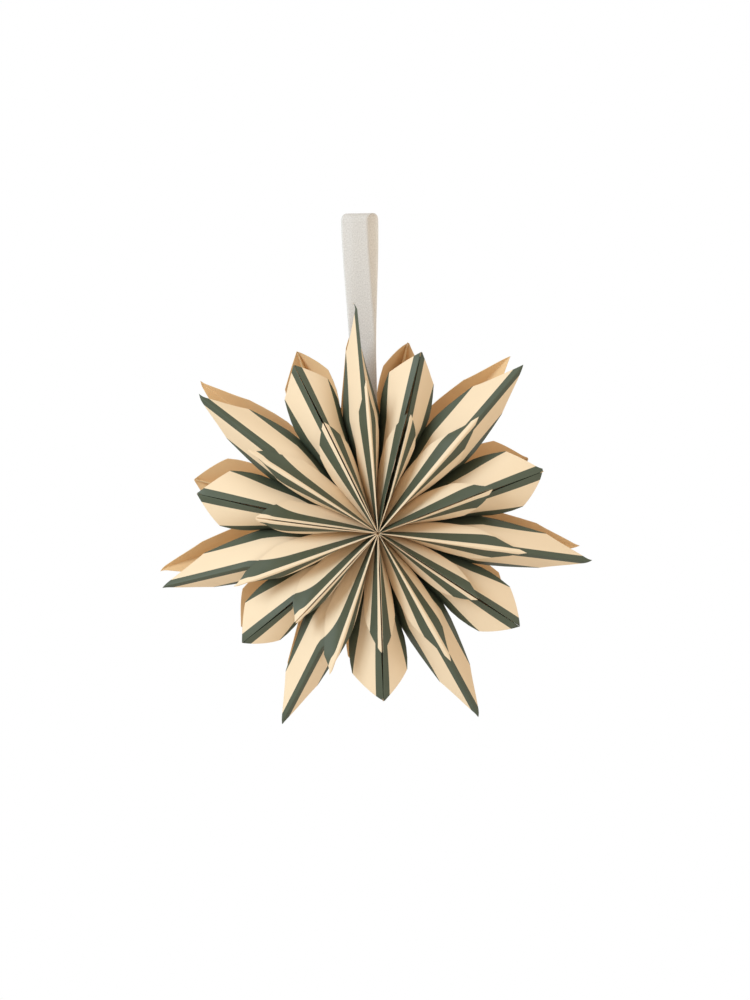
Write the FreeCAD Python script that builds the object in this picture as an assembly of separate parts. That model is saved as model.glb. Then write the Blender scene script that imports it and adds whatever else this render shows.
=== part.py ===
"""Folded paper star for hanging up: seven gusseted paper segments fanned out round an axis.

Each segment is two folded and nested paper tubes, a long one inside a shorter sleeve. A tube has a W
of folds at the front, the same W at the back, and two flat walls that join them. The walls of
neighbouring segments lie against each other and make the seven wide rays, each split by a fine slit.
The middle fold of each W makes a narrow, longer ray. The outer ends are trimmed to points.

Millimetres. +Z is up, the star's front faces -Y and its axis runs along Y. The origin is where the
ribbon loop bears on the hook that it hangs from.
"""

import FreeCAD
import Part
import math
import os

Vector = FreeCAD.Vector

# The star as a whole
SEGMENTS = 7                 # paper segments, glued wall to wall
HALF_DEPTH = 52.0            # from the middle plane to the front folds at the hub
FIRST_RAY_DEG = 93.4         # direction of the narrow ray that the ribbon hangs from
PAPER = 0.3                  # thickness of the paper
LAYER_GAP = 0.1              # air between sheets that lie against each other
FRONT_LEAN_X = 0.08          # the folded front sags sideways by this share of its depth
FRONT_LEAN_Z = -0.04         # and downwards by this share

# Long inner tube
LONG_GUSSET = 31.0           # width of one panel from fold to fold
LONG_NARROW_TIP = 150.0      # radius of the narrow rays' tips
LONG_WIDE_TIP = 120.5        # radius of the wide rays' tips
LONG_NARROW_SHOULDER = 116.0  # radius where a narrow ray's slanted trim turns into its side
LONG_WIDE_SHOULDER = 101.0   # the same on a wide ray
LONG_VALLEY_END = 73.5       # radius where the valleys between the rays open
LONG_WALL_NOTCH = 70.0       # radius of the notch in the side walls, between front and back points
LONG_TIP_DROP = 26.0         # how far the long fold has curved back at the narrow tip
LONG_DROP_POWER = 1.35       # how evenly it curves back: 1 is a straight line from the hub

# Short outer sleeve
SHORT_GUSSET = 28.0
SHORT_NARROW_TIP = 103.0
SHORT_WIDE_TIP = 82.5
SHORT_NARROW_SHOULDER = 66.0
SHORT_WIDE_SHOULDER = 60.0
SHORT_VALLEY_END = 35.0
SHORT_WALL_NOTCH = 34.0
SHORT_TIP_DROP = 6.0         # how far the short fold has curved back at its narrow tip
SHORT_DROP_POWER = 2.2

# Shape of the folded panels
SHOULDER_SHARE = 0.68        # share of the panel's width that lies inside the shoulder
WIDE_SPREAD = 9.0            # a wide ray's panel opens by this much from the valley's end to the tip
NARROW_SPREAD = -3.0         # a narrow ray's panel closes
PANEL_STRETCH = 0.97         # straight-line share of a curved panel's width
WIDE_BULGE = (0.62, 0.38)    # sideways and backwards share of the panel's bend point
NARROW_BULGE = (0.70, 0.32)
FLAT_BULGE = (0.5, 0.5)      # a panel at the hub is straight
BULGE_RADIUS = 40.0          # radius at which the bulge is full

# Slits between neighbouring segments
SLIT_OPEN = 0.5              # half opening of a glued slit at the folds
SEAM_OPEN = 1.5              # the same at the closing seam
SLIT_FULL_FROM = 25.0
SLIT_FULL_TO = 100.0

# How far each ray is off the even spacing, in degrees, and off its length
RAY_LEAN_DEG = (-0.5, -4.4, -3.3, -3.1, -1.5, -1.8, -3.2, -1.3, -1.3, -0.7, -1.7, 0.6, 3.7, 6.1)
RAY_TRIM = (-0.6, -3.4, -2.3, 1.1, -1.2, -1.3, 1.4, 0.6, 4.4, 2.0, 4.0, 1.0, -0.3, 1.1)

# Ribbon loop
RIBBON_WIDTH = 18.0
RIBBON_THICKNESS = 0.4
RIBBON_HEIGHT = 209.0        # from the star's axis up to the inside of the loop's top
RIBBON_SIDE = -0.8           # how far the loop's top stands sideways from the axis
RIBBON_SEAT_GAP = 0.3        # from the ends' edges to the two walls that they are glued between
STRAND_GAP = 0.5             # air between the two strands inside the star
LOOP_HALF_GAP = 4.0          # half the air between the strands at the loop's top
LOOP_SPREAD_HEIGHT = 75.0    # height over which the strands spread apart
STRAND_SHIFT = 3.6           # front strand shifts to one side and rear strand to the other

# Tape pads that close the seam
TAPE_LENGTH = 10.0
TAPE_DEPTH = 6.0
TAPE_THICKNESS = 0.3
TAPE_GAP = 0.05              # glue line between a pad and its wall
TAPE_SET_BACK = 2.0          # from the fold to the pad's front edge
TAPE_INNER_RADIUS = 41.0
TAPE_OUTER_RADIUS = 83.0

# Facets
STATION_STEP = 22.0          # longest facet along a ray
PANEL_SHARES = (0.0, 0.34, SHOULDER_SHARE, 1.0)
MITRE_LIMIT = 3.0            # a sharp fold's corner stands out by at most this many half thicknesses

RAYS = 2 * SEGMENTS
SEAM_RAY = RAYS - 1          # the wide ray that closes the ring
RAY_STEP = 2.0 * math.pi / RAYS
SHEET_PITCH = PAPER + LAYER_GAP
SHEETS_IN_HALF_SEGMENT = 6
HUB_RADIUS = 1.05 * SHEETS_IN_HALF_SEGMENT * SHEET_PITCH / math.tan(RAY_STEP)
STAR_CENTRE = Vector(-RIBBON_SIDE, 0, -RIBBON_HEIGHT)


class Layer:
    """One of the two nested tubes, with the sizes that its folds and trims follow."""

    def __init__(self, gusset, tips, shoulders, valley_end, notch, tip_drop, drop_power, depth_order):
        self.gusset = gusset
        self.tips = tips                        # narrow ray, wide ray
        self.shoulders = shoulders
        self.valley_end = valley_end
        self.notch = notch
        self.tip_drop = tip_drop
        self.drop_power = drop_power
        self.depth_order = depth_order          # 0 is the outer sleeve, 1 the tube inside it


LONG = Layer(LONG_GUSSET, (LONG_NARROW_TIP, LONG_WIDE_TIP), (LONG_NARROW_SHOULDER, LONG_WIDE_SHOULDER),
             LONG_VALLEY_END, LONG_WALL_NOTCH, LONG_TIP_DROP, LONG_DROP_POWER, 1)
SHORT = Layer(SHORT_GUSSET, (SHORT_NARROW_TIP, SHORT_WIDE_TIP), (SHORT_NARROW_SHOULDER, SHORT_WIDE_SHOULDER),
              SHORT_VALLEY_END, SHORT_WALL_NOTCH, SHORT_TIP_DROP, SHORT_DROP_POWER, 0)


def is_wide(ray):
    return ray % 2 == 1


def ray_angle(ray):
    """Direction of a ray in radians, even spacing plus its own lean. Ray indices may run past one turn."""
    lean = RAY_LEAN_DEG[ray % RAYS % len(RAY_LEAN_DEG)]
    return math.radians(FIRST_RAY_DEG + lean) + ray * RAY_STEP


def ray_tip(layer, ray):
    """Radius of a ray's tip. Only the long rays are trimmed unevenly."""
    trim = RAY_TRIM[ray % RAYS % len(RAY_TRIM)] if layer is LONG else 0.0
    return layer.tips[is_wide(ray)] + trim


def nesting(radius):
    """How far the inner tube's folds lie behind the sleeve's. More where the panels are steeper."""
    return SHEET_PITCH * (2.0 + 1.1 * LONG_GUSSET / (radius * math.tan(RAY_STEP / 2)))


def fold_depth(layer, radius):
    """Depth of a ray's front fold, negative towards the front."""
    tip = layer.tips[0]
    drop = layer.tip_drop * (radius / tip) ** layer.drop_power
    return -HALF_DEPTH + drop + (nesting(radius) if layer.depth_order else 0.0)


def slit_offset(layer, ray, radius, depth):
    """Sideways distance of a wall's middle from the plane of its wide ray."""
    base = (0.5 + layer.depth_order) * SHEET_PITCH
    tip = ray_tip(LONG, ray)
    opening = SEAM_OPEN if ray % RAYS == SEAM_RAY else SLIT_OPEN
    rise = (radius - HUB_RADIUS) / (SLIT_FULL_FROM - HUB_RADIUS)
    fall = (tip - radius) / (tip - SLIT_FULL_TO)
    share = max(0.0, min(1.0, rise, fall))
    closing = (0.5 * SHEET_PITCH - base) * (1.0 - max(0.0, min(1.0, fall)))
    return base + closing + opening * share * abs(depth) / HALF_DEPTH


def on_ray(ray, radius, sideways, depth):
    """Point at a radius along a ray, a distance to its anticlockwise side, and a depth."""
    angle = ray_angle(ray)
    x = radius * math.cos(angle) - sideways * math.sin(angle)
    z = radius * math.sin(angle) + sideways * math.cos(angle)
    return Vector(x, depth, z)


def fold_point(layer, ray, side, radius):
    """Point on a ray's front fold. A wide ray has two folds, one on each side of its slit."""
    depth = fold_depth(layer, radius)
    sideways = side * slit_offset(layer, ray, radius, depth) if is_wide(ray) else 0.0
    return on_ray(ray, radius, sideways, depth)


def panel_spread(layer, ray, side, radius):
    """Sideways reach of a panel from its ray to the valley, also past the valley's end."""
    half_step = side * (ray_angle(ray + side) - ray_angle(ray)) / 2
    hub_share = SHEET_PITCH if is_wide(ray) else -SHEET_PITCH
    at_valley_end = min(radius, LONG_VALLEY_END) * math.tan(half_step) + hub_share
    past_end = (radius - LONG_VALLEY_END) / (LONG.tips[is_wide(ray)] - LONG_VALLEY_END)
    spread = WIDE_SPREAD if is_wide(ray) else NARROW_SPREAD
    return at_valley_end + spread * math.sin(math.pi / 2 * max(0.0, min(1.0, past_end)))


def valley_point(layer, ray, side, radius):
    """Point where a panel meets the valley fold, or would meet it past the valley's end."""
    reach = panel_spread(layer, ray, side, radius)
    full = (PANEL_STRETCH * LONG_GUSSET) ** 2 - reach ** 2
    drop = math.sqrt(max(full, 1.0)) - nesting(radius)
    if not layer.depth_order:
        drop -= LONG_GUSSET - SHORT_GUSSET
    return on_ray(ray, radius, side * reach, fold_depth(layer, radius) + max(drop, 1.0))


def panel_point(layer, ray, side, share, radius):
    """Point on a panel at a share of its width: a parabola from the ray's fold to the valley."""
    start = fold_point(layer, ray, side, radius)
    end = valley_point(layer, ray, side, radius)
    if share >= 1.0:
        return (end + valley_point(layer, ray + side, -side, radius)) * 0.5
    fullness = min(1.0, radius / BULGE_RADIUS)
    target = WIDE_BULGE if is_wide(ray) else NARROW_BULGE
    across = FLAT_BULGE[0] + fullness * (target[0] - FLAT_BULGE[0])
    back = FLAT_BULGE[1] + fullness * (target[1] - FLAT_BULGE[1])
    run = end - start
    bend = start + Vector(across * run.x, back * run.y, across * run.z)
    return start * (1 - share) ** 2 + bend * (2 * share * (1 - share)) + end * share ** 2


def panel_end(layer, ray, share):
    """Radius at which the trim cuts a panel, at a share of its width."""
    tip = ray_tip(layer, ray)
    shoulder = layer.shoulders[is_wide(ray)] + (tip - layer.tips[is_wide(ray)])
    if share <= SHOULDER_SHARE:
        return tip + (shoulder - tip) * share / SHOULDER_SHARE
    return shoulder + (layer.valley_end - shoulder) * (share - SHOULDER_SHARE) / (1 - SHOULDER_SHARE)


def wall_point(layer, ray, side, radius):
    """Point on the middle plane, half way from a side wall's front fold to its back fold."""
    return on_ray(ray, radius, side * slit_offset(layer, ray, radius, 0.0), 0.0)


def mirrored(point):
    return Vector(point.x, -point.y, point.z)


def segment_rails(layer, narrow):
    """Lines that run out from the hub, in order round one tube. Each is (point at a radius, end radius)."""
    front = []
    panels = ((narrow - 1, 1, PANEL_SHARES), (narrow, -1, PANEL_SHARES[-2::-1]),
              (narrow, 1, PANEL_SHARES[1:]), (narrow + 1, -1, PANEL_SHARES[-2::-1]))
    for ray, side, shares in panels:
        for share in shares:
            front.append((lambda r, a=ray, s=side, w=share: panel_point(layer, a, s, w, r),
                          panel_end(layer, ray, share)))
    back = [(lambda r, f=place: mirrored(f(r)), end) for place, end in reversed(front)]
    far_wall = (lambda r: wall_point(layer, narrow + 1, -1, r), layer.notch)
    near_wall = (lambda r: wall_point(layer, narrow - 1, 1, r), layer.notch)
    return front + [far_wall] + back + [near_wall]


def stations(last):
    """Radii at which the facets meet, the same in both layers so that the nested sheets stay parallel."""
    keys = [HUB_RADIUS, 2 * HUB_RADIUS, SLIT_FULL_FROM, SHORT_VALLEY_END, LONG_VALLEY_END,
            SLIT_FULL_TO, LONG_WIDE_TIP]
    keys = sorted(k for k in keys if HUB_RADIUS <= k < last) + [last]
    radii = [keys[0]]
    for low, high in zip(keys, keys[1:]):
        steps = max(1, math.ceil((high - low) / STATION_STEP))
        radii += [low + (high - low) * (n + 1) / steps for n in range(steps)]
    return radii


def leaned(point):
    """The front of the star sags a little to one side and down, in proportion to its depth."""
    front = max(0.0, -point.y)
    return point + Vector(FRONT_LEAN_X * front, 0, FRONT_LEAN_Z * front)


def mitre(before, here, after, along):
    """Offset of a sheet's skin from its middle, for one unit of half thickness, at a fold or bend."""
    first = (here - before).cross(along)
    second = (after - here).cross(along)
    first.normalize()
    second.normalize()
    middle = first + second
    if middle.Length < 1e-6:
        return first
    middle.normalize()
    return middle * min(MITRE_LIMIT, 1.0 / max(middle.dot(first), 1e-6))


def solid_of(points, triangles):
    """Closed solid from corner points and triangles of point numbers."""
    shape = Part.Shape()
    shape.makeShapeFromMesh((points, triangles), 1e-6)
    solid = Part.makeSolid(Part.makeShell(shape.Faces))
    if solid.Volume < 0:
        solid.reverse()
    return solid


def sheet_solid(skins, closed):
    """Solid of a sheet from its two skins. A skin is a list of rails, each a list of corner points.

    A rail that ends early has fewer points, and its last one then serves its neighbour's later ones.
    """
    points = []
    number = []
    for skin in skins:
        rows = []
        for rail in skin:
            rows.append(list(range(len(points), len(points) + len(rail))))
            points += rail
        number.append(rows)
    triangles = []

    def add(a, b, c, flip):
        if len({a, b, c}) == 3:
            triangles.append((a, c, b) if flip else (a, b, c))

    rails = len(skins[0])
    pairs = [(i, (i + 1) % rails) for i in range(rails if closed else rails - 1)]
    for flip, rows in enumerate(number):
        for i, k in pairs:
            left, right = rows[i], rows[k]
            for j in range(max(len(left), len(right)) - 1):
                a, d = left[min(j, len(left) - 1)], left[min(j + 1, len(left) - 1)]
                b, c = right[min(j, len(right) - 1)], right[min(j + 1, len(right) - 1)]
                add(a, b, c, flip)
                add(a, c, d, flip)
    outer, inner = number
    for i, k in pairs:
        for end in (0, -1):
            a, b = outer[i][end], outer[k][end]
            c, d = inner[k][end], inner[i][end]
            add(a, b, c, end == 0)
            add(a, c, d, end == 0)
    if not closed:
        for i in (0, rails - 1):
            for j in range(len(outer[i]) - 1):
                a, b = outer[i][j], outer[i][j + 1]
                c, d = inner[i][j + 1], inner[i][j]
                add(a, b, c, i == 0)
                add(a, c, d, i == 0)
    return solid_of(points, triangles)


def paper_tube(layer, narrow):
    """One folded and trimmed paper tube of the segment whose middle is the given narrow ray."""
    rails = segment_rails(layer, narrow)
    radii = stations(max(end for place, end in rails))
    outer, inner = [], []
    for i, (place, end) in enumerate(rails):
        before = rails[i - 1][0]
        after = rails[(i + 1) % len(rails)][0]
        kept = [r for r in radii if r < end - 0.5] + [end]
        outside, inside = [], []
        for r in kept:
            here = place(r)
            along = place(r + 0.5) - here
            skin = mitre(before(r), here, after(r), along) * (PAPER / 2)
            outside.append(leaned(here + skin) + STAR_CENTRE)
            inside.append(leaned(here - skin) + STAR_CENTRE)
        outer.append(outside)
        inner.append(inside)
    return sheet_solid((outer, inner), closed=True)


def ribbon_start():
    """Height at which the ribbon's ends just fit between the two side walls of its segment."""
    lean = RIBBON_SIDE / RIBBON_HEIGHT
    clear = (0.5 + LONG.depth_order) * SHEET_PITCH + PAPER / 2 + RIBBON_SEAT_GAP
    heights = []
    for side in (1, -1):
        wall = ray_angle(side)
        opening = side * (lean * math.sin(wall) - math.cos(wall))
        heights.append((clear + RIBBON_WIDTH / 2 * math.sin(wall)) / opening)
    return max(heights)


def ribbon_centre(height, strand):
    """Middle of a strand at a height above the star's axis. strand is -1 for the front one, 1 for the rear."""
    side = RIBBON_SIDE * height / RIBBON_HEIGHT
    share = max(0.0, (height - RIBBON_HEIGHT + LOOP_SPREAD_HEIGHT) / LOOP_SPREAD_HEIGHT)
    share = math.sin(math.pi / 2 * min(1.0, share)) ** 2
    closed = (STRAND_GAP + RIBBON_THICKNESS) / 2
    apart = closed + (LOOP_HALF_GAP + RIBBON_THICKNESS / 2 - closed) * share
    return Vector(side + strand * STRAND_SHIFT * share, strand * apart, height)


def ribbon_loop():
    """Flat ribbon folded double: both ends glued inside one ray, the bend on top left open as a loop."""
    bend_radius = LOOP_HALF_GAP + RIBBON_THICKNESS / 2
    shoulder = RIBBON_HEIGHT + RIBBON_THICKNESS / 2 - bend_radius
    spread_from = RIBBON_HEIGHT - LOOP_SPREAD_HEIGHT
    straight = [ribbon_start(), (ribbon_start() + spread_from) / 2]
    straight += [spread_from + (shoulder - spread_from) * n / 6 for n in range(7)]
    path = [ribbon_centre(h, -1) for h in straight]
    for n in range(1, 8):
        turn = math.pi * n / 8
        side = RIBBON_SIDE - STRAND_SHIFT * math.cos(turn)
        path.append(Vector(side, -bend_radius * math.cos(turn), shoulder + bend_radius * math.sin(turn)))
    path += [ribbon_centre(h, 1) for h in reversed(straight)]
    across = Vector(RIBBON_WIDTH / 2, 0, 0)
    outer, inner = [[], []], [[], []]
    for i, here in enumerate(path):
        before = path[max(i - 1, 0)]
        after = path[min(i + 1, len(path) - 1)]
        skin = (after - before).cross(across)
        skin.normalize()
        for rail, sign in enumerate((-1, 1)):
            middle = here + across * sign + STAR_CENTRE
            outer[rail].append(middle + skin * (RIBBON_THICKNESS / 2))
            inner[rail].append(middle - skin * (RIBBON_THICKNESS / 2))
    return sheet_solid((outer, inner), closed=False)


def seam_tape(layer, first_radius):
    """Pad of double-sided tape on one wall of the closing seam, just behind the front fold."""
    shift = PAPER / 2 + TAPE_GAP + TAPE_THICKNESS / 2
    outer, inner = [], []
    front = fold_depth(layer, first_radius + TAPE_LENGTH) + TAPE_SET_BACK
    for depth in (front, front + TAPE_DEPTH):
        outside, inside = [], []
        for radius in (first_radius, first_radius + TAPE_LENGTH):
            middle = slit_offset(layer, SEAM_RAY, radius, depth) - shift
            for skin, sign in ((outside, 1), (inside, -1)):
                place = on_ray(SEAM_RAY, radius, middle + sign * TAPE_THICKNESS / 2, depth)
                skin.append(leaned(place) + STAR_CENTRE)
        outer.append(outside)
        inner.append(inside)
    return sheet_solid((outer, inner), closed=False)


def build():
    """All the pieces by name."""
    pieces = {}
    for n in range(SEGMENTS):
        pieces[f"long_tube_{n + 1}"] = paper_tube(LONG, 2 * n)
        pieces[f"short_sleeve_{n + 1}"] = paper_tube(SHORT, 2 * n)
    pieces["ribbon_loop"] = ribbon_loop()
    pieces["seam_tape_inner"] = seam_tape(SHORT, TAPE_INNER_RADIUS)
    pieces["seam_tape_outer"] = seam_tape(LONG, TAPE_OUTER_RADIUS)
    return pieces


os.makedirs("parts", exist_ok=True)
for node, solid in build().items():
    box = solid.BoundBox
    print(node, "valid", solid.isValid(), "volume", round(solid.Volume, 1), "faces", len(solid.Faces),
          "size", round(box.XLength, 1), round(box.YLength, 1), round(box.ZLength, 1))
    solid.exportStep(f"parts/{node}.step")
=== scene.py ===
"""Looks of the hanging folded paper star: striped paper tubes, glue, tape, ribbon, light and camera.

Metres. +Z is up, the star's front faces -Y, and the origin is where the ribbon loop bears on its hook.
"""

import math

import bpy
import numpy as np
from mathutils import Matrix, Vector


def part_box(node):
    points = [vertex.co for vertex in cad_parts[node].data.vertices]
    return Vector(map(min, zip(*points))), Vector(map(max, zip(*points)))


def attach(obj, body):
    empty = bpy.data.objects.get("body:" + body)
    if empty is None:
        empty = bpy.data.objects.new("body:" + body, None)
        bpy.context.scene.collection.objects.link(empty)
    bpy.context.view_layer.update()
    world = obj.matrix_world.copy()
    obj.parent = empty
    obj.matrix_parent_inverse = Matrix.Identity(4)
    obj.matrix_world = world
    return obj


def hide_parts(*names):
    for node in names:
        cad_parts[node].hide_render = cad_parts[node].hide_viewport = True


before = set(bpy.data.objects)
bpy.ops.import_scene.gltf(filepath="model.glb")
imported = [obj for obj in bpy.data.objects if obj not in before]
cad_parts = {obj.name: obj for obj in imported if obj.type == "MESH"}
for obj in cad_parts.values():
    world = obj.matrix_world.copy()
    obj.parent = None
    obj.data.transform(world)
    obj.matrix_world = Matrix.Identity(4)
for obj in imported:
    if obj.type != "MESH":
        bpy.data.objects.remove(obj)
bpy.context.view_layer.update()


# The long paper tubes. Seven striped paper bags with gusseted sides, open at both ends, make the long leaves.
# Each is folded in a W at the front and again at the back, fanned open from the hub, and cut to points.

mm = 0.001
segments = 7
rays = 2 * segments
ray_step = 2 * math.pi / rays
half_depth = 52 * mm                      # from the middle plane to the front folds at the hub
star_centre = np.array([0.0008, 0, -0.209])
first_ray = math.radians(93.4)            # direction of the narrow ray that the ribbon hangs from
ray_lean = np.radians([-0.5, -4.4, -3.3, -3.1, -1.5, -1.8, -3.2, -1.3, -1.3, -0.7, -1.7, 0.6, 3.7, 6.1])
ray_trim = np.array([1.4, 2.2, -2.3, 1.1, -1.2, -1.3, 1.4, 0.6, 4.4, 2.0, 4.0, 1.0, -0.3, 2.6]) * mm
front_sag = np.array([0.08, 0, -0.04])    # the folded front sags by this share of its depth
sheet_pitch = 0.4 * mm                    # from one sheet's middle to the next one's where they lie together
paper_thickness = 0.3 * mm
crowded_radius = 5.2 * mm                 # inside this the sheets crowd together at the hub
hub_radius = 1.1 * mm
bulge_radius = 40 * mm
wide_bulge = (0.62, 0.38)                 # sideways and backwards share of a panel's bend point
narrow_bulge = (0.70, 0.32)
sleeve_bulge = (0.54, 0.45)               # the sleeves' narrow rays are folded tighter,
slim_bulge = (0.40, 0.56)                 # and their clockwise panels on these rays tighter still
slim_rays = (2, 3, 4, 5, 6)
wide_spread = 9 * mm                      # a wide ray's panel opens by this much towards its tip
narrow_spread = -3 * mm
pinched = {(0, 1): 2 * mm, (0, -1): 10 * mm, (1, 1): 7 * mm, (13, -1): 8 * mm}    # (ray, side): opens less
tip_curl = np.array([2, 0, -1.5, 0, 1, 0, 0.8, 0.8, -0.8, 0, 1, 1.5, 0, -0.5]) * mm   # anticlockwise
curl_length = 5 * mm
curl_back = 1.2 * mm
panel_stretch = 0.97                      # a bowed panel spans this share of its paper width
shoulder_share = 0.68                     # where across the panel the cut edge has its corner
valley_meets = 4                          # power of the width by which neighbouring panels come to one valley
steep_crowding = 1.1                      # how much more room nested sheets take where their panels are steep
slit_open = 0.45 * mm
seam_open = 1.5 * mm
seam_ray = 13
slit_full = (25 * mm, 72 * mm)            # the slits are fully open between these radii
sharp_fold = math.radians(28)             # folds sharper than this are shaded as edges
long_layer = {
    "order": 1, "gusset": 31 * mm, "tips": (150 * mm, 120.5 * mm), "shoulders": (116 * mm, 101 * mm),
    "valley_end": 73.5 * mm, "notch": 70 * mm, "tip_drop": 26 * mm, "drop_power": 1.35,
    "ridge_round": (0.9 * mm, 0.6 * mm)}
short_layer = {
    "order": 0, "gusset": 28 * mm, "tips": (103 * mm, 82.5 * mm), "shoulders": (66 * mm, 60 * mm),
    "valley_end": 35 * mm, "notch": 34 * mm, "tip_drop": 6 * mm, "drop_power": 2.2,
    "ridge_round": (2.2 * mm, 0.7 * mm)}
front_turn = np.radians([0, 0, 4.4, 4, 4.9, 6.4, 6.4, -0.8, 0.5, 0.5, 1.3, 2.5, 1.7, 0.3])
turned_depth = 28 * mm                    # near the hub the front turn takes the panels along to this depth
turned_full = np.array([45, 36] * segments) * mm      # all of that depth up to this radius
turned_none = np.array([92, 74] * segments) * mm      # and none of it from this one on
back_turn = np.radians([-5, -5.8, -3.4, 0, -1.8, 3, 6.7, 0, 1.9, 0, 1.4, -1.2, 1, 1.3])
back_turn_radii = (20 * mm, 90 * mm)      # where the rear leaves' turn begins and is full


def is_wide(ray):
    return ray % 2 == 1


def ray_angle(ray):
    """Even spacing round the star plus the ray's own lean."""
    return first_ray + ray * ray_step + ray_lean[ray % rays]


def ray_tip(layer, ray):
    """Radius of a ray's tip: the layer's cut radius, and on the long tubes the uneven hand trim as well."""
    return layer["tips"][is_wide(ray)] + (ray_trim[ray % rays] if layer["order"] else 0.0)


def nesting(radius):
    """How far the inner tube's folds lie behind the sleeve's: two sheets, and more where panels are steep."""
    half_width = np.maximum(radius, crowded_radius) * math.tan(ray_step / 2)
    return sheet_pitch * (2 + steep_crowding * long_layer["gusset"] / half_width)


def fold_depth(layer, radius):
    """Depth of a ray's front fold: flat at the hub, curving back with a power of the radius."""
    drop = layer["tip_drop"] * (radius / layer["tips"][0]) ** layer["drop_power"]
    return -half_depth + drop + layer["order"] * nesting(radius)


def slit_offset(layer, ray, radius, depth):
    """Sideways place of a side wall: its layer's offset, opened in proportion to depth, closed at the tip."""
    base = (0.5 + layer["order"]) * sheet_pitch
    tip = ray_tip(long_layer, ray)
    opening = np.where(depth < 0, seam_open if ray % rays == seam_ray else slit_open, 0)
    rise = (radius - crowded_radius) / (slit_full[0] - crowded_radius)
    fall = (tip - radius) / (tip - slit_full[1])
    share = np.clip(np.minimum(rise, fall), 0, 1)
    closing = (0.5 * sheet_pitch - base) * (1 - np.clip(fall, 0, 1))
    gathered = np.minimum(radius / crowded_radius, 1)
    return (base + closing) * gathered + opening * share * np.abs(depth) / half_depth


def on_ray(ray, radius, sideways, depth):
    """Points at a radius along a ray, a distance to its anticlockwise side, and a depth."""
    angle = ray_angle(ray)
    x = radius * np.cos(angle) - sideways * np.sin(angle)
    z = radius * np.sin(angle) + sideways * np.cos(angle)
    return np.stack(np.broadcast_arrays(x, depth, z), axis=-1)


def fold_line(layer, ray, side, radius):
    """The front fold of a ray. A wide ray has one on each side of its slit."""
    depth = fold_depth(layer, radius)
    sideways = side * slit_offset(layer, ray, radius, depth) if is_wide(ray) else np.zeros_like(radius)
    return on_ray(ray, radius, sideways, depth)


def valley_from(layer, ray, side, radius):
    """Where a panel of one width, hung from this ray's fold, would end sideways and in depth."""
    half_step = side * (ray_angle(ray + side) - ray_angle(ray)) / 2
    hub_share = sheet_pitch if is_wide(ray) else -sheet_pitch
    gathered = np.minimum(radius / crowded_radius, 1)
    valley_end = long_layer["valley_end"]
    reach = np.minimum(radius, valley_end) * math.tan(half_step) + hub_share * gathered
    past = np.clip((radius - valley_end) / (long_layer["tips"][is_wide(ray)] - valley_end), 0, 1)
    spread = (wide_spread if is_wide(ray) else narrow_spread) - pinched.get((ray % rays, side), 0.0)
    reach = reach + spread * np.sin(math.pi / 2 * past)
    full = (panel_stretch * long_layer["gusset"]) ** 2 - reach ** 2
    drop = np.sqrt(np.maximum(full, mm ** 2)) - nesting(radius)
    drop = drop - (0 if layer["order"] else long_layer["gusset"] - layer["gusset"])
    return on_ray(ray, radius, side * reach, fold_depth(layer, radius) + np.maximum(drop, mm))


def panel_end(layer, ray, share):
    """Radius of the cut edge at a share of the panel's width: straight from tip to shoulder to valley."""
    tip = ray_tip(layer, ray)
    shoulder = layer["shoulders"][is_wide(ray)] + (tip - layer["tips"][is_wide(ray)])
    return np.interp(share, [0, shoulder_share, 1], [tip, shoulder, layer["valley_end"]])


def bulge_of(layer, ray, side):
    """Where a panel's bend point stands, as shares of the way from fold to valley, sideways and backwards."""
    if layer["order"] == 0 and side < 0 and ray % rays in slim_rays:
        return slim_bulge
    if is_wide(ray):
        return wide_bulge
    return narrow_bulge if layer["order"] else sleeve_bulge


def panel(layer, ray, side, shares, along):
    """Grid of one gusset panel: a parabola from fold to valley at each radius, with a rounded fold.

    The rounding is a square cap that takes the slope out of the parabola at the fold. The last stretch of a
    long tip curls sideways and back with the square of the way into it.
    """
    share = shares[:, None]
    radius = hub_radius + (panel_end(layer, ray, shares)[:, None] - hub_radius) * along[None, :]
    start = fold_line(layer, ray, side, radius)
    own = valley_from(layer, ray, side, radius)
    neighbour = valley_from(layer, ray + side, -side, radius)
    meet = share[..., None] ** valley_meets
    end = own + (neighbour - own) * 0.5 * meet
    fullness = np.minimum(1, radius / bulge_radius)
    target = bulge_of(layer, ray, side)
    across = 0.5 + fullness * (target[0] - 0.5)
    back = 0.5 + fullness * (target[1] - 0.5)
    run = end - start
    bend = start + run * np.stack([across, back, across], axis=-1)
    w = share[..., None]
    grid = start * (1 - w) ** 2 + bend * (2 * w * (1 - w)) + end * w ** 2
    width = layer["ridge_round"][is_wide(ray)] * fullness
    slope = 2 * back * run[..., 1] / layer["gusset"]
    inside = np.clip(1 - share * layer["gusset"] / np.maximum(width, 1e-6), 0, 1)
    grid[..., 1] += slope * width / 2 * inside ** 2
    if layer["order"]:
        curl = np.clip((radius - ray_tip(layer, ray)) / curl_length + 1, 0, 1) ** 2
        turned = on_ray(ray, 0.0, tip_curl[ray % rays], curl_back)
        grid = grid + curl[..., None] * turned
    return grid


def wall(layer, ray, side, shares, along):
    """Grid of one side wall, flat from its front fold to its back fold, with a notch between its points."""
    end = layer["notch"] + (ray_tip(layer, ray) - layer["notch"]) * np.abs(1 - 2 * shares)
    radius = hub_radius + (end[:, None] - hub_radius) * along[None, :]
    depth = fold_depth(layer, radius) * (1 - 2 * shares[:, None])
    return on_ray(ray, radius, side * slit_offset(layer, ray, radius, depth), depth)


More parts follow.
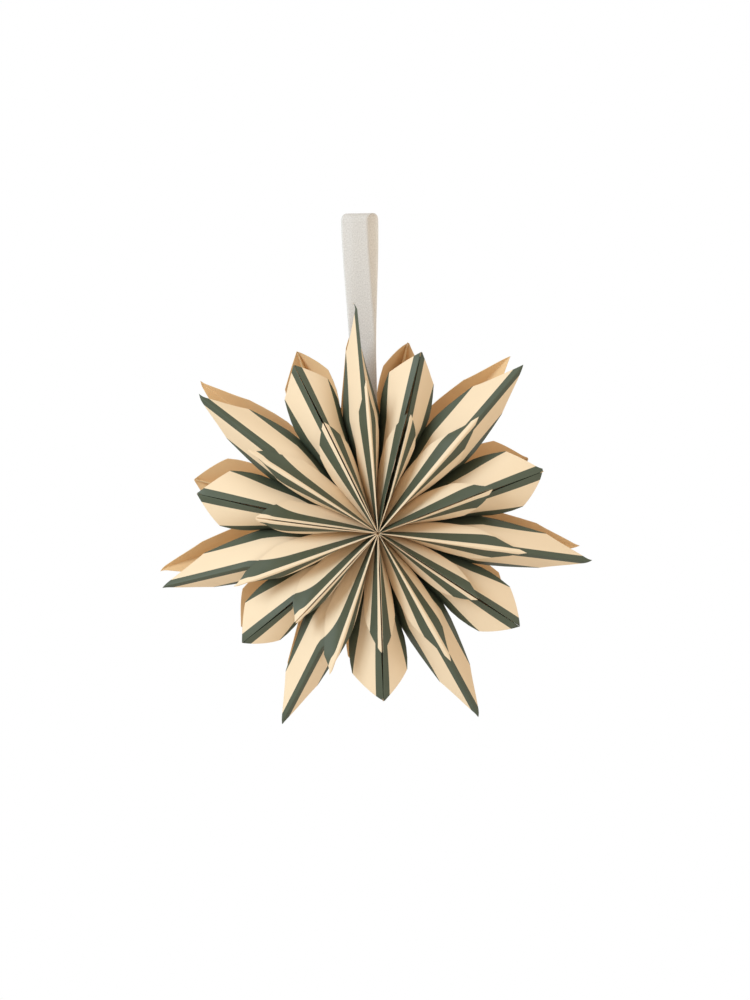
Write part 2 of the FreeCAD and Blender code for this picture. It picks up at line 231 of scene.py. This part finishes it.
def ray_value(values, angle):
    """A ray's own value near the ray, blended smoothly into the next ray's on the way there."""
    past_first = (angle - ray_angle(0)) % (2 * math.pi)
    ray_places = [ray_angle(n) - ray_angle(0) for n in range(rays + 1)]
    number = np.interp(past_first, ray_places, np.arange(rays + 1))
    ray = np.minimum(number.astype(int), rays - 1)
    share = number - ray
    share = share ** 2 * (3 - 2 * share)
    return values[ray] + (values[(ray + 1) % rays] - values[ray]) * share


def settled(points):
    """Where the even star's points come to lie. It depends on the place alone, so it makes no sheets cross.

    What stands in front of the long tubes' folds is turned about the axis, each ray by its own angle, and
    near the hub so is what lies deeper. The rear leaves turn in proportion to depth, and the front sags.
    """
    x, y, z = np.moveaxis(points, -1, 0)
    radius, angle = np.hypot(x, z), np.arctan2(z, x)
    long_fold, short_fold = fold_depth(long_layer, radius), fold_depth(short_layer, radius)
    full, none = ray_value(turned_full, angle), ray_value(turned_none, angle)
    deeper = turned_depth * np.clip((none - radius) / (none - full), 0, 1)
    share = np.clip((long_fold + deeper - y) / (long_fold - short_fold + deeper / 2), 0, 1)
    turn = ray_value(front_turn, angle) * share ** 2 * (3 - 2 * share)
    low, high = back_turn_radii
    outward = np.clip((radius - low) / (high - low), 0, 1)
    turn = turn + ray_value(back_turn, angle) * outward * (np.maximum(y, 0) / half_depth)
    turned = np.stack([radius * np.cos(angle + turn), y, radius * np.sin(angle + turn)], axis=-1)
    return turned + np.maximum(0, -y)[..., None] * front_sag


rounding_shares = [0, 0.010, 0.022, 0.038, 0.062, 0.095]      # close together on the rounded fold
panel_shares = np.sort(np.concatenate([rounding_shares, np.linspace(0.13, 1, 12), [shoulder_share]]))
wall_shares = 0.5 - 0.5 * np.cos(np.linspace(0, math.pi, 27))
along_ray = np.sin(np.linspace(0, math.pi / 2, 45)) ** 1.15   # from 0 at the hub to 1, closer towards the cut


def paper_tube(name, layer, narrow, print_shift):
    """One tube as a closed loop of panels and walls, each column of quads with its own place in the print.

    The UV map holds the paper distance from the ridge fold, negative on the walls, and the radius, in metres.
    """
    front = ((narrow - 1, 1, False), (narrow, -1, True), (narrow, 1, False), (narrow + 1, -1, True))
    columns, left, right = [], [], []

    def add(grid, distance):
        columns.append(grid[:-1])
        left.append(distance[:-1])
        right.append(distance[1:])

    across = panel_shares * layer["gusset"]
    # the walls' distance counts back from the nearest fold, so the green band near a fold repeats on them as
    # painted shade in the slits
    wall_fold_distance = -2 * half_depth * np.minimum(wall_shares, 1 - wall_shares)
    for mirrored in (False, True):
        for ray, side, inward in (reversed(front) if mirrored else front):
            grid = panel(layer, ray, side, panel_shares, along_ray)
            distance = across + print_shift.get((ray % rays, side), 0.0)
            if mirrored:
                grid = grid * np.array([1, -1, 1])
            if inward != mirrored:
                grid, distance = grid[::-1], distance[::-1]
            add(grid, distance)
        ray, side = (narrow - 1, 1) if mirrored else (narrow + 1, -1)
        grid = wall(layer, ray, side, wall_shares, along_ray)
        add(grid[::-1] if mirrored else grid, wall_fold_distance)
    points = settled(np.concatenate(columns)) + star_centre
    u_count, v_count = points.shape[:2]
    number = np.arange(u_count * v_count).reshape(u_count, v_count)
    after = np.roll(number, -1, axis=0)
    quads = np.stack([number[:, :-1], number[:, 1:], after[:, 1:], after[:, :-1]], axis=-1).reshape(-1, 4)
    near, far = np.concatenate(left), np.concatenate(right)
    radius = np.hypot(points[..., 0] - star_centre[0], points[..., 2] - star_centre[2])
    radius_after = np.roll(radius, -1, axis=0)
    uv = np.empty((u_count, v_count - 1, 4, 2))
    uv[..., 0] = np.stack([near, near, far, far], axis=-1)[:, None, :]
    uv[..., 1] = np.stack([radius[:, :-1], radius[:, 1:], radius_after[:, 1:], radius_after[:, :-1]], axis=-1)
    mesh = bpy.data.meshes.new(name)
    mesh.from_pydata(points.reshape(-1, 3), [], quads)
    mesh.uv_layers.new(name="print").data.foreach_set("uv", uv.reshape(-1))
    mesh.polygons.foreach_set("use_smooth", np.ones(len(quads), dtype=bool))
    mesh.set_sharp_from_angle(angle=sharp_fold)
    tube = bpy.data.objects.new(name, mesh)
    bpy.context.collection.objects.link(tube)
    for paper in (printed_paper[layer["order"]], bare_paper_and_shade):
        mesh.materials.append(paper)
    thickness = tube.modifiers.new("paper", "SOLIDIFY")
    thickness.thickness = paper_thickness
    thickness.offset = 0
    thickness.material_offset = 1
    thickness.material_offset_rim = 1
    return tube


class Wire:
    """A node socket that takes part in Python sums. Each operator adds one Math node."""

    def __init__(self, tree, socket):
        self.tree = tree
        self.socket = socket

    def node(self, kind, settings=None, **inputs):
        """Adds any node and returns it: its settings come first, then its inputs by socket name or number."""
        node = self.tree.nodes.new(kind)
        for key, value in (settings or {}).items():
            setattr(node, key, value)
        for key, value in inputs.items():
            socket = node.inputs[int(key[1:])] if key[0] == "n" and key[1:].isdigit() else node.inputs[key]
            if isinstance(value, Wire):
                self.tree.links.new(value.socket, socket)
            else:
                socket.default_value = value
        return node

    def out(self, node, name=0):
        return Wire(self.tree, node.outputs[name])

    def maths(self, operation, *values):
        return self.out(self.node("ShaderNodeMath", {"operation": operation},
                                  **{f"n{i}": value for i, value in enumerate(values)}))

    def __add__(self, other):
        return self.maths("ADD", self, other)

    def __sub__(self, other):
        return self.maths("SUBTRACT", self, other)

    def __rsub__(self, other):
        return self.maths("SUBTRACT", other, self)

    def __mul__(self, other):
        return self.maths("MULTIPLY", self, other)

    def __truediv__(self, other):
        return self.maths("DIVIDE", self, other)

    __radd__ = __add__
    __rmul__ = __mul__

    def between(self, low, high, soft):
        """1 where the value lies from low to high, with edges a given width soft."""
        rise = ((self - low) / soft + 0.5).clamped()
        fall = ((high - self) / soft + 0.5).clamped()
        return rise * fall

    def clamped(self):
        return self.maths("MINIMUM", self.maths("MAXIMUM", self, 0.0), 1.0)

    def mixed(self, first, second):
        """Colour mix of two colours with this value as the factor."""
        node = self.node("ShaderNodeMix", {"data_type": "RGBA"}, n0=self, n6=first, n7=second)
        return Wire(self.tree, node.outputs[2])


def new_material(name):
    """A material with nodes, its shader, and a Wire to start expressions from."""
    material = bpy.data.materials.new(name)
    material.use_nodes = True
    tree = material.node_tree
    return material, tree.nodes["Principled BSDF"], Wire(tree, None)


def connect(wire, socket):
    wire.tree.links.new(wire.socket, socket)


def scaled(colour, factor):
    """A colour made lighter or darker by a factor."""
    return tuple(c * factor for c in colour[:3]) + (1,)


cream = (0.885, 0.71, 0.51, 1)
dark_green = (0.056, 0.067, 0.042, 1)
# unprinted side: the paper's own tan, darkened further as painted shade for the tubes' insides
bare_side_and_shade = (0.84, 0.59, 0.33, 1)
stripe_soft = 0.10 * mm                   # width of the print's soft edge
paper_clouds = 60.0                       # noise scales in object space
ink_clouds = 90.0
fibre_scale = 2600.0
fibre_bump = 0.10
fibre_height = 0.1 * mm


def paper_colour(start, colour, worn, noise_scale):
    """Colour of paper with cloudy unevenness and fibres, both from noise in object space."""
    place = start.out(start.node("ShaderNodeTexCoord"), "Object")
    cloud = start.node("ShaderNodeTexNoise", Vector=place, Scale=noise_scale, Detail=3.0)
    fibre = start.node("ShaderNodeTexNoise", Vector=place, Scale=fibre_scale, Detail=2.0)
    shade = start.out(cloud, "Fac") * 0.7 + start.out(fibre, "Fac") * 0.3
    return shade.mixed(colour, worn), start.out(fibre, "Fac")


def printed(name, green_from, green_to, second_from):
    """Cream paper with green stripes along its folds, by the distance across the paper from the ridge. The
    first band goes by the size of the distance, so it repeats on the side walls near each fold; there its
    dark green is painted shade for the narrow slits.
    """
    material, shader, start = new_material(name)
    place = start.out(start.node("ShaderNodeUVMap", {"uv_map": "print"}), "UV")
    across = start.out(start.node("ShaderNodeSeparateXYZ", Vector=place), "X")
    # by the size of the distance: on the panels this is print, on the side walls painted shade for the slits
    green = across.maths("ABSOLUTE", across).between(green_from, green_to, stripe_soft)
    if second_from is not None:
        green = green + across.between(second_from, 1.0, stripe_soft)
    pale, _ = paper_colour(start, cream, scaled(cream, 0.93), paper_clouds)
    ink, fibre = paper_colour(start, dark_green, scaled(dark_green, 1.5), ink_clouds)
    connect(green.clamped().mixed(pale, ink), shader.inputs["Base Color"])
    connect(0.78 - green.clamped() * 0.22, shader.inputs["Roughness"])
    bump = start.node("ShaderNodeBump", Height=fibre, Strength=fibre_bump, Distance=fibre_height)
    connect(start.out(bump, "Normal"), shader.inputs["Normal"])
    shader.inputs["Specular IOR Level"].default_value = 0.42
    return material


def unprinted(name):
    """The plain back of the paper and its cut edges, coloured darker and more orange than the cream front:
    the plain paper's own tan plus painted shade for the dim insides of the tubes.
    """
    material, shader, start = new_material(name)
    pale, fibre = paper_colour(start, bare_side_and_shade, scaled(bare_side_and_shade, 0.93), paper_clouds)
    connect(pale, shader.inputs["Base Color"])
    bump = start.node("ShaderNodeBump", Height=fibre, Strength=fibre_bump, Distance=fibre_height)
    connect(start.out(bump, "Normal"), shader.inputs["Normal"])
    shader.inputs["Roughness"].default_value = 0.8
    shader.inputs["Specular IOR Level"].default_value = 0.3
    return material


# inside and cut-edge paper, its colour carrying painted shade for the tubes' insides
bare_paper_and_shade = unprinted("bare_paper_and_shade")
printed_paper = (printed("short_sleeve_paper", 2.8 * mm, 11.4 * mm, None),
                 printed("long_tube_paper", -0.5 * mm, 4.3 * mm, 20.7 * mm))

for n in range(segments):
    tube = paper_tube(f"long_leaf_{n + 1}", long_layer, 2 * n, {})
    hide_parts(f"long_tube_{n + 1}")
    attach(tube, "root")


# The short sleeves. A shorter bag of the same paper sits over each long tube and makes the inner leaves.
# Its stripes lie elsewhere, so its ridges are cream between two green bands.

register_slip = 2.8 * mm                  # on some wide rays one panel is folded inside its green band
slipped = {(ray, 1): register_slip for ray in (7, 9, 11, 13)}

for n in range(segments):
    sleeve = paper_tube(f"short_leaf_{n + 1}", short_layer, 2 * n, slipped)
    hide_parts(f"short_sleeve_{n + 1}")
    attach(sleeve, "root")


# The ribbon. One flat off-white woven ribbon, folded double, goes down inside the top ray, and its ends are
# glued there. The closed bend on top is the loop that the star hangs from.

ribbon_width = 18 * mm
ribbon_thickness = 0.4 * mm
ribbon_height = 209 * mm                  # from the star's axis up to the inside of the loop's top
ribbon_side = -1.1 * mm                   # how far the loop's top stands sideways from the axis
strand_gap = 0.5 * mm                     # between the strands, low down
loop_half_gap = 4 * mm                    # and from the middle plane to a strand, at the loop
loop_spread = 105 * mm                    # the height over which the strands part
strand_shift = 3.9 * mm                   # sideways, front strand to the left and rear one to the right
selvedge_from = 8.3 * mm                  # where the pale line along each edge begins, from the middle
ribbon_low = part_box("ribbon_loop")[0][2] - star_centre[2]


def ribbon_path(count):
    """Middle line: up the front strand, round a half circle, down the rear one. Strands part by a sine."""
    bend_radius = loop_half_gap + ribbon_thickness / 2
    shoulder = ribbon_height + ribbon_thickness / 2 - bend_radius
    height = np.linspace(ribbon_low, shoulder, count)
    side = ribbon_side * height / ribbon_height
    share = np.clip((height - ribbon_height + loop_spread) / loop_spread, 0, 1)
    share = np.sin(math.pi / 2 * share) ** 2
    closed = (strand_gap + ribbon_thickness) / 2
    apart = closed + (bend_radius - closed) * share
    front = np.stack([side - strand_shift * share, -apart, height], axis=-1)
    rear = np.stack([side + strand_shift * share, apart, height], axis=-1)[::-1]
    turn = np.linspace(0, math.pi, 17)[1:-1]
    bend = np.stack([ribbon_side - strand_shift * np.cos(turn), -bend_radius * np.cos(turn),
                     shoulder + bend_radius * np.sin(turn)], axis=-1)
    return np.concatenate([front, bend, rear])


def ribbon_sheet():
    """Grid across the ribbon and along its path. The UV map holds both distances in metres."""
    path = ribbon_path(90) + star_centre
    across = np.linspace(-0.5, 0.5, 13) * ribbon_width
    steps = np.linalg.norm(np.diff(path, axis=0), axis=1)
    length = np.concatenate([[0], np.cumsum(steps)])
    points = path[None, :, :] + across[:, None, None] * np.array([1.0, 0, 0])
    u_count, v_count = points.shape[:2]
    number = np.arange(u_count * v_count).reshape(u_count, v_count)
    corners = [number[:-1, :-1], number[1:, :-1], number[1:, 1:], number[:-1, 1:]]
    quads = np.stack(corners, axis=-1).reshape(-1, 4)
    place = np.stack(np.broadcast_arrays(across[:, None], length[None, :]), axis=-1).reshape(-1, 2)
    mesh = bpy.data.meshes.new("ribbon")
    mesh.from_pydata(points.reshape(-1, 3), [], quads)
    mesh.uv_layers.new(name="weave").data.foreach_set("uv", place[quads.reshape(-1)].reshape(-1))
    mesh.polygons.foreach_set("use_smooth", np.ones(len(quads), dtype=bool))
    ribbon = bpy.data.objects.new("ribbon", mesh)
    bpy.context.collection.objects.link(ribbon)
    thickness = ribbon.modifiers.new("weave", "SOLIDIFY")
    thickness.thickness = ribbon_thickness
    thickness.offset = 0
    thickness.material_offset = 1
    return ribbon, float(length[-1])


def ribbon_weave(name, pale, dark):
    """One face of the ribbon: faintly speckled and see-through, with a pale line along both edges."""
    material, shader, start = new_material(name)
    place = start.out(start.node("ShaderNodeUVMap", {"uv_map": "weave"}), "UV")
    parts = start.node("ShaderNodeSeparateXYZ", Vector=place)
    across = start.out(parts, "X").maths("ABSOLUTE", start.out(parts, "X"))
    stretched = start.out(start.node("ShaderNodeMapping", Vector=place, Scale=(1500.0, 900.0, 1.0)))
    grain = start.out(start.node("ShaderNodeTexNoise", Vector=stretched, Scale=1.0, Detail=2.0), "Fac")
    selvedge = across.between(selvedge_from, 10 * mm, 0.2 * mm)
    connect((grain * (1 - selvedge)).mixed(pale, dark), shader.inputs["Base Color"])
    bump = start.node("ShaderNodeBump", Height=grain, Strength=0.3, Distance=0.1 * mm)
    connect(start.out(bump, "Normal"), shader.inputs["Normal"])
    connect(0.88 - grain * 0.32, shader.inputs["Alpha"])
    shader.inputs["Roughness"].default_value = 0.65
    return material


# The inner face shows on the rear strand. Its lighter, warmer colours are painted light, standing in for
# light through the ribbon where the front strand shades the rear one.
outer_face = ribbon_weave("ribbon_outer_face", (0.80, 0.79, 0.79, 1), (0.58, 0.565, 0.57, 1))
inner_face_painted_light = ribbon_weave("ribbon_inner_face", (0.97, 0.94, 0.90, 1), (0.88, 0.83, 0.77, 1))
ribbon, ribbon_length = ribbon_sheet()
ribbon.data.materials.append(outer_face)
ribbon.data.materials.append(inner_face_painted_light)
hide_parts("ribbon_loop")
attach(ribbon, "root")


# The seam tape. Two small pads of double-sided tape close the ring between the last segment and the first.
# They show in the wider slit of that ray.

def tape_film(name, colour):
    """Cloudy, slightly glossy tape."""
    material, shader, start = new_material(name)
    place = start.out(start.node("ShaderNodeTexCoord"), "Object")
    cloud = start.out(start.node("ShaderNodeTexNoise", Vector=place, Scale=400.0, Detail=2.0), "Fac")
    connect(cloud.mixed(colour, scaled(colour, 0.8)), shader.inputs["Base Color"])
    shader.inputs["Roughness"].default_value = 0.35
    return material


tape_colours = {"seam_tape_inner": (0.80, 0.68, 0.64, 1), "seam_tape_outer": (0.42, 0.45, 0.50, 1)}
for node, colour in tape_colours.items():
    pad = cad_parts[node]
    pad.data.materials.clear()
    pad.data.materials.append(tape_film(f"{node}_film", colour))


# The floor. A plain white studio floor far below the hanging star.

floor_height = -1.35
floor_half = 14.0
floor_mesh = bpy.data.meshes.new("floor")
floor_signs = ((-1, -1), (1, -1), (1, 1), (-1, 1))
floor_corners = [(x * floor_half, y * floor_half, floor_height) for x, y in floor_signs]
floor_mesh.from_pydata(floor_corners, [], [(0, 1, 2, 3)])
floor = bpy.data.objects.new("floor", floor_mesh)
bpy.context.collection.objects.link(floor)


def seen_directly(start):
    """1 for rays from the camera or by way of a gloss or a see-through surface."""
    path = start.node("ShaderNodeLightPath")
    seen = start.maths("MAXIMUM", start.out(path, "Is Camera Ray"), start.out(path, "Is Glossy Ray"))
    return start.maths("MAXIMUM", seen, start.out(path, "Is Transmission Ray"))


floor_paint, floor_shader, start = new_material("floor_paint")
floor_shader.inputs["Base Color"].default_value = (0.9, 0.9, 0.9, 1)
floor_shader.inputs["Roughness"].default_value = 0.9
white = start.node("ShaderNodeEmission", Color=(1, 1, 1, 1), Strength=1.0)
mix = start.node("ShaderNodeMixShader", n0=seen_directly(start),
                 n1=start.out(floor_shader, "BSDF"), n2=start.out(white))
connect(start.out(mix), floor_paint.node_tree.nodes["Material Output"].inputs["Surface"])
floor_mesh.materials.append(floor_paint)


# The light. One big soft lamp from the upper left and in front, a weak one from the right, and a warm room.

room = bpy.data.worlds.new("room")
bpy.context.scene.world = room
room.use_nodes = True
room_start = Wire(room.node_tree, None)
room_light = 0.66                         # where it isn't seen directly
room_tint = (1, 0.84, 0.63, 1)
seen = seen_directly(room_start)
background = room.node_tree.nodes["Background"]
connect(seen * (1 - room_light) + room_light, background.inputs["Strength"])
connect(seen.mixed(room_tint, (1, 1, 1, 1)), background.inputs["Color"])


def soft_lamp(name, place, size, power, colour):
    """Square area lamp at a place measured from the star's centre, turned towards it."""
    data = bpy.data.lights.new(name, "AREA")
    data.size = size
    data.energy = power
    data.color = colour
    lamp = bpy.data.objects.new(name, data)
    bpy.context.collection.objects.link(lamp)
    lamp.location = star_centre + np.array(place)
    lamp.rotation_euler = (-Vector(place)).to_track_quat("-Z", "Y").to_euler()


soft_lamp("key_lamp", (-1.5, -1.5, 1.1), 0.9, 40, (0.73, 0.89, 1.0))
soft_lamp("fill_lamp", (1.6, -1.4, 0.2), 1.6, 7, (1.0, 0.95, 0.88))


# The camera, where the photograph's stood: a little above the star and to its left, 1.6 m away.

view_distance = 1.6
view_left = math.radians(3.49)
view_above = math.radians(8.93)
view_roll = math.radians(1.11)
focal_pixels = 2315.1
centre_in_picture = (367.0, 518.7)
picture = (750, 1000)
sensor = 36

camera_data = bpy.data.cameras.new("camera")
camera_data.sensor_width = sensor
camera_data.lens = sensor * focal_pixels / picture[1]
camera_data.shift_x = (picture[0] / 2 - centre_in_picture[0]) / picture[1]
camera_data.shift_y = (centre_in_picture[1] - picture[1] / 2) / picture[1]
camera = bpy.data.objects.new("camera", camera_data)
bpy.context.collection.objects.link(camera)
towards_camera = Vector((-math.sin(view_left) * math.cos(view_above),
                         -math.cos(view_left) * math.cos(view_above), math.sin(view_above)))
camera.location = Vector(star_centre) + view_distance * towards_camera
level = (-towards_camera).to_track_quat("-Z", "Y").to_matrix()
camera.rotation_euler = (level @ Matrix.Rotation(-view_roll, 3, "Z")).to_euler()
bpy.context.scene.camera = camera
bpy.context.scene.view_settings.view_transform = "Standard"
